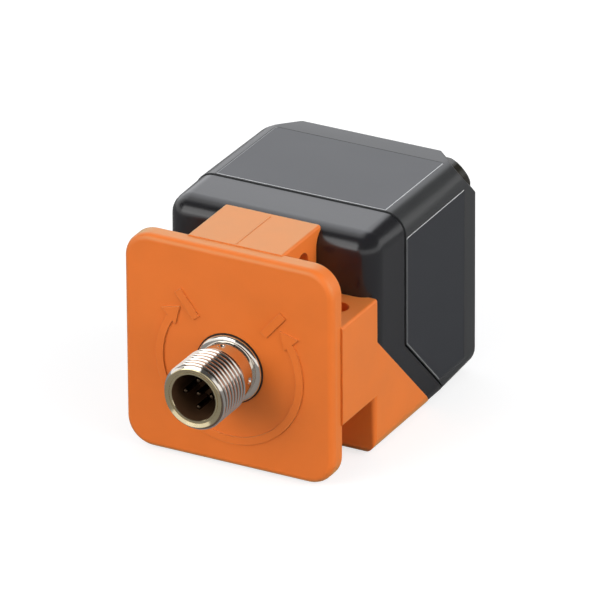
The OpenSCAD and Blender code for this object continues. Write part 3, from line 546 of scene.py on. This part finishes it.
def add_thread(bm):
    """The helical thread between the tip and the collar, with lines of points that follow the helix."""
    phases = thread_phases()
    pitches = math.ceil((COLLAR_START - THREAD_START) / THREAD_PITCH)
    rows = []
    # A pitch more at either end, which thread_point presses flat there
    for m in range(-1, pitches + 1):
        for share, depth in phases:
            points = [thread_point(m + share, depth, k / SLEEVE_STEPS) for k in range(SLEEVE_STEPS)]
            rows.append([bm.verts.new(Vector(p) * MM) for p in points])
    count = len(phases)
    for i in range(len(rows) - 1):
        depth = min(phases[i % count][1], phases[(i + 1) % count][1])
        # Faces deep in the groove get the painted shade
        mark = ROOT_SHADE if depth > ROOT_SHADE_SHARE else SKIN
        for k in range(SLEEVE_STEPS - 1):
            corners = (rows[i][k], rows[i][k + 1], rows[i + 1][k + 1], rows[i + 1][k])
            bm.faces.new(corners).material_index = mark
        if i + 1 + count < len(rows):
            corners = (rows[i][-1], rows[i + count][0], rows[i + count + 1][0], rows[i + 1][-1])
            bm.faces.new(corners).material_index = mark


def add_tab(bm):
    """The stop tab on the shank's end."""
    half = TAB_HALF / 360
    grid = {}
    for end, y in enumerate((TAB_Y, SHANK_END)):
        for ring, r in enumerate((SHANK_R - TAB_SINK, TAB_R)):
            for k in range(TAB_STEPS + 1):
                turn = TAB_TURN + half * (2 * k / TAB_STEPS - 1)
                grid[end, ring, k] = bm.verts.new(Vector(ring_point(r, y, turn)) * MM)
    for k in range(TAB_STEPS):
        bm.faces.new((grid[0, 0, k], grid[0, 0, k + 1], grid[0, 1, k + 1], grid[0, 1, k]))
        bm.faces.new((grid[1, 0, k], grid[1, 1, k], grid[1, 1, k + 1], grid[1, 0, k + 1]))
        bm.faces.new((grid[0, 1, k], grid[0, 1, k + 1], grid[1, 1, k + 1], grid[1, 1, k]))
        bm.faces.new((grid[0, 0, k], grid[1, 0, k], grid[1, 0, k + 1], grid[0, 0, k + 1]))
    for k in (0, TAB_STEPS):
        bm.faces.new((grid[0, 0, k], grid[0, 1, k], grid[1, 1, k], grid[1, 0, k]))


def add_collar(bm):
    """The collar between the thread and the flange."""
    steps = round((FLANGE_FRONT - COLLAR_START) / COLLAR_SPACING)
    rings = []
    for i in range(steps + 1):
        y = COLLAR_START + (FLANGE_FRONT - COLLAR_START) * i / steps
        turns = [k / SLEEVE_STEPS for k in range(SLEEVE_STEPS)]
        rings.append([ring_point(collar_radius(y, turn), y, turn) for turn in turns])
    add_rings(bm, rings, SKIN)


def make_sleeve(outside, lip, bore, root_shade):
    """The plug's sleeve with its real helical thread, punch marks, flange and stop tab, and painted shade in
    the thread's grooves.
    """
    bm = bmesh.new()
    add_outline(bm, [
        *[(LIP_R + out, TIP_Y + back) for out, back in LIP_STEPS],
        (THREAD_TIP_R - TIP_EDGE[0], TIP_Y), (THREAD_TIP_R, TIP_Y + TIP_EDGE[1]),
        (THREAD_TIP_R, THREAD_START),
    ], LIP)
    add_thread(bm)
    add_collar(bm)
    add_outline(bm, [
        (COLLAR_R, FLANGE_FRONT), (COLLAR_R + FLANGE_FLAT, FLANGE_FRONT),
        *[(FLANGE_R - inside, FLANGE_FRONT + back) for inside, back in FLANGE_STEPS],
        (FLANGE_R, FLANGE_BACK), (SHANK_R, FLANGE_BACK),
        (SHANK_R, RING_GROOVE[0]), (RING_GROOVE_R, RING_GROOVE[0]),
        (RING_GROOVE_R, RING_GROOVE[1]), (SHANK_R, RING_GROOVE[1]),
        (SHANK_R, CLIP_GROOVE[0]), (CLIP_GROOVE_R, CLIP_GROOVE[0]),
        (CLIP_GROOVE_R, CLIP_GROOVE[1]), (SHANK_R, CLIP_GROOVE[1]),
        (SHANK_R, SHANK_END), (MOUTH_R, SHANK_END),
    ], SKIN)
    add_outline(bm, [
        (MOUTH_R, SHANK_END), (MOUTH_R, TIP_Y + MOUTH_FRONT),
        (LIP_R, TIP_Y + LIP_BACK), (LIP_R, TIP_Y + LIP_STEPS[0][1]),
    ], BORE)
    add_tab(bm)
    bmesh.ops.remove_doubles(bm, verts=bm.verts, dist=SAME_POINT_MM * MM)
    bmesh.ops.dissolve_degenerate(bm, edges=bm.edges, dist=NO_LENGTH_MM * MM)
    bmesh.ops.recalc_face_normals(bm, faces=bm.faces)
    mesh = bpy.data.meshes.new("sleeve_with_thread")
    bm.to_mesh(mesh)
    bm.free()
    for material in (outside, lip, bore, root_shade):
        mesh.materials.append(material)
    mesh.shade_smooth()
    mesh.set_sharp_from_angle(angle=math.radians(SLEEVE_SHARP_DEGREES))
    piece = bpy.data.objects.new("sleeve_with_thread", mesh)
    bpy.context.scene.collection.objects.link(piece)
    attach(piece, "plug")
    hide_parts("connector_sleeve")


# The head and the fields that hold the two foils, in millimetres, as in the part's source
NECK_END = 14.65
WEDGE_H = 22.35
SEAM_Y = 25.9
SEAM_GAP = 0.25
SEAM_BAND = 3.7
BACK_Y = 53.0
BACK_ROUND = 0.8
HEAD_H = 40.8
HEAD_HALF = 20.4
TOP_TAPER = 0.15
SIDE_TAPER = 0.2
FIELD_HALF = 16.4
FIELD_MARGIN = 0.15
FIELD_BACK = 4.9
FIELD_EDGE = 4.3
FIELD_CUT = 0.3
SEAT_GAP = 0.05
FOIL_T = 0.15
# The edge line, print with a painted highlight on some sides and painted shade on others, and the bare rim
# inside it; the line is the second of a foil's rings of faces
LINE_W = 0.16
RIM_W = 0.02
LINE_LEVEL = 1
# A foil's materials, in their order on the mesh: the bare foil, the line as painted highlight and the line as
# painted shade
BARE, LINE_HIGHLIGHT, LINE_SHADE = range(3)

TAPER_LEN = BACK_Y - BACK_ROUND - SEAM_Y
TOP_SLOPE = math.atan(TOP_TAPER / TAPER_LEN)
SIDE_SLOPE = math.atan(SIDE_TAPER / TAPER_LEN)


def inset_loop(loop, amount):
    """The corners of a loop moved inwards so that each side moves by an amount."""
    count = len(loop)
    out = []
    for i in range(count):
        a, b, c = (Vector(loop[(i + k) % count]) for k in (-1, 0, 1))
        before = (b - a).normalized()
        after = (c - b).normalized()
        n1 = Vector((-before.y, before.x))
        n2 = Vector((-after.y, after.x))
        out.append(b + (n1 + n2) * amount / (1 + n1.dot(n2)))
    return out


def make_foil(name, node, corners, sides, place, materials):
    """A bare foil with its edge line; sides says which material each side's line has: painted highlight,
    painted shade or bare foil.
    """
    rings = [corners, inset_loop(corners, LINE_W), inset_loop(corners, LINE_W + RIM_W)]
    count = len(corners)
    verts = [place(x, y, -FOIL_T) for x, y in corners]
    for ring in rings:
        verts += [place(x, y, 0) for x, y in ring]
    faces = [tuple(range(count))[::-1]]
    marks = [BARE]
    for level in range(len(rings)):
        for i in range(count):
            j = (i + 1) % count
            low = level * count
            faces.append((low + i, low + j, low + count + j, low + count + i))
            marks.append(sides[i] if level == LINE_LEVEL else BARE)
    inner = len(rings) * count
    faces.append(tuple(range(inner, inner + count)))
    marks.append(BARE)
    piece = put(name, verts, faces, materials, "housing", marks)
    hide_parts(node)


def top_place(x, y, z):
    """A point on the head's top, which falls a little to the rear."""
    c, s = math.cos(TOP_SLOPE), math.sin(TOP_SLOPE)
    return (x, SEAM_Y - MID_Y + y * c + z * s, HEAD_H - y * s + z * c)


def side_place(x, y, z):
    """A point on the head's right side, which draws in a little to the rear."""
    c, s = math.cos(SIDE_SLOPE), math.sin(SIDE_SLOPE)
    return (HEAD_HALF + z * c - x * s, SEAM_Y - MID_Y + x * c + z * s, y)


def make_foils(materials):
    """The foils on the head's top and right side."""
    cut = FIELD_CUT
    front = SEAM_GAP + FIELD_MARGIN + SEAT_GAP
    rear = BACK_Y - SEAM_Y - FIELD_BACK - SEAT_GAP
    half = FIELD_HALF - SEAT_GAP
    top = [
        (-half, front), (half, front), (half, rear - cut),
        (half - cut, rear), (cut - half, rear), (-half, rear - cut),
    ]
    # The top foil's line is painted highlight at the front and right, painted shade at the left and the rear
    # corners, and bare at the rear
    make_foil("foil_top", "label_top", top, [LINE_HIGHLIGHT, LINE_HIGHLIGHT, LINE_SHADE, BARE, LINE_SHADE, LINE_SHADE], top_place, materials)
    low = FIELD_EDGE + SEAT_GAP
    high = HEAD_H - FIELD_EDGE - SEAT_GAP
    slant = NECK_END + WEDGE_H - SEAM_Y + (SEAM_BAND + front) * math.sqrt(2)
    side = [
        (front, high - cut), (front, slant - front), (slant - low, low),
        (rear, low), (rear, high), (front + cut, high),
    ]
    # The side foil's line is painted highlight along the top, painted shade at the front and the slant, and
    # bare at the bottom and rear
    make_foil("foil_side", "label_side", side, [LINE_SHADE, LINE_SHADE, BARE, BARE, LINE_HIGHLIGHT, LINE_HIGHLIGHT], side_place, materials)


bpy.context.scene.view_settings.view_transform = "Standard"
make_camera()
make_world()
make_floor()
make_lamps()

orange = plastic(
    "orange_plastic", (0.83, 0.154, 0.012), 0.45, edge_mm=0.15,
    Specular_IOR_Level=0.85, Specular_Tint=(0.2, 1, 0.65, 1),
    Sheen_Weight=0.3, Sheen_Roughness=0.5, Sheen_Tint=(0.1, 1, 0.45, 1),
)
gloss = plastic(
    "gloss_black", (0.012, 0.012, 0.014), 0.24, grain_height=0.03, variation=0.02, edge_mm=0.1,
    Specular_IOR_Level=0.66,
)
matt = plastic(
    "matt_grey", (0.034, 0.035, 0.036), 0.29, grain_mm=0.18, grain_height=0.15, variation=0.02, edge_mm=0.25,
    Specular_IOR_Level=0.40,
)
foil = plastic(
    "label_foil", (0.026, 0.028, 0.033), 0.36, grain_height=0.05, variation=0.02,
    Specular_IOR_Level=0.42,
)
# The foils' edge line: print, made lighter as painted highlight and darker as painted shade
line_highlight = plastic("edge_line_print_and_highlight", (0.62, 0.63, 0.64), 0.4, grain_height=0.05)
line_shade = plastic("edge_line_print_and_shade", (0.22, 0.225, 0.23), 0.4, grain_height=0.05)
lens = plastic("smoked_lens", (0.016, 0.014, 0.009), 0.28, grain_height=0, Specular_IOR_Level=0.35)
rubber = plastic("seal_rubber", (0.012, 0.012, 0.013), 0.6, grain_mm=0.1, grain_height=0.3)
insert = plastic("insert_brown", (0.085, 0.041, 0.019), 0.5, Specular_IOR_Level=0.2)
nickel = metal("plated_brass", (0.86, 0.81, 0.74), 0.09)
brass = metal("bare_brass", (0.76, 0.65, 0.41), 0.12)
# Painted shade: a darker metal in the thread's grooves, where shade falls
root_shade = metal("thread_root_painted_shade", (0.33, 0.25, 0.20), 0.16)
# Painted shade: the contacts' gold is far darker than gold, standing in for the shade deep in the plug's bore
contact_gold_shaded = metal("gold_contact", (0.075, 0.052, 0.034), 0.16)
steel = metal("spring_steel", (0.56, 0.57, 0.58), 0.28)
zinc = metal("screw_steel", (0.62, 0.63, 0.66), 0.32)
can = metal("capacitor_can", (0.72, 0.73, 0.75), 0.3)
copper = metal("copper_wire", (0.78, 0.35, 0.16), 0.3, brush_mm=0.3, brush_height=0.9)
board = plastic("board_green", (0.012, 0.115, 0.040), 0.35, grain_mm=1.2, grain_height=0.5, variation=0.25)
chip = plastic("chip_black", (0.018, 0.018, 0.020), 0.5, grain_mm=0.12, grain_height=0.4)
ferrite = plastic(
    "ferrite_grey", (0.032, 0.033, 0.036), 0.62, grain_mm=0.2, grain_height=0.6, variation=0.12,
)
cream = plastic("bobbin_cream", (0.62, 0.57, 0.44), 0.45, edge_mm=0.1)
resin = plastic("led_resin", (0.80, 0.72, 0.38), 0.2, Transmission_Weight=0.5)

# The nodes that a piece of the scene replaces are dressed as well
for name, material in {
    "base_body": orange, "front_shell": gloss, "rear_housing": matt,
    "led_lens_left": lens, "led_lens_right": lens, "led_left": resin, "led_right": resin,
    "contact_carrier": insert, "sleeve_clip": steel, "shank_o_ring": rubber, "flange_seal": rubber,
    "floor_screws": zinc, "main_board": board, "sensor_chip": chip, "output_chip": chip,
    "capacitors": can, "ferrite_core": ferrite, "coil_bobbin": cream,
    "coil_winding": copper, "coil_leads": copper,
    "connector_sleeve": nickel, "label_top": foil, "label_side": foil,
}.items():
    paint(name, material)
lead_colours = [
    ("lead_brown", (0.20, 0.085, 0.035)), ("lead_white", (0.78, 0.78, 0.75)),
    ("lead_blue", (0.022, 0.07, 0.32)), ("lead_black", (0.012, 0.012, 0.013)),
    ("lead_grey", (0.24, 0.25, 0.26)),
]
for number, (name, colour) in enumerate(lead_colours, 1):
    paint(f"contact_pin_{number}", contact_gold_shaded)
    paint(f"lead_{number}", plastic(name, colour, 0.4, grain_height=0.1))
joined_smooth = smoothing_group()
for obj in nodes.values():
    smooth(obj, joined_smooth)

make_sleeve(nickel, brass, insert, root_shade)
make_foils((foil, line_highlight, line_shade))
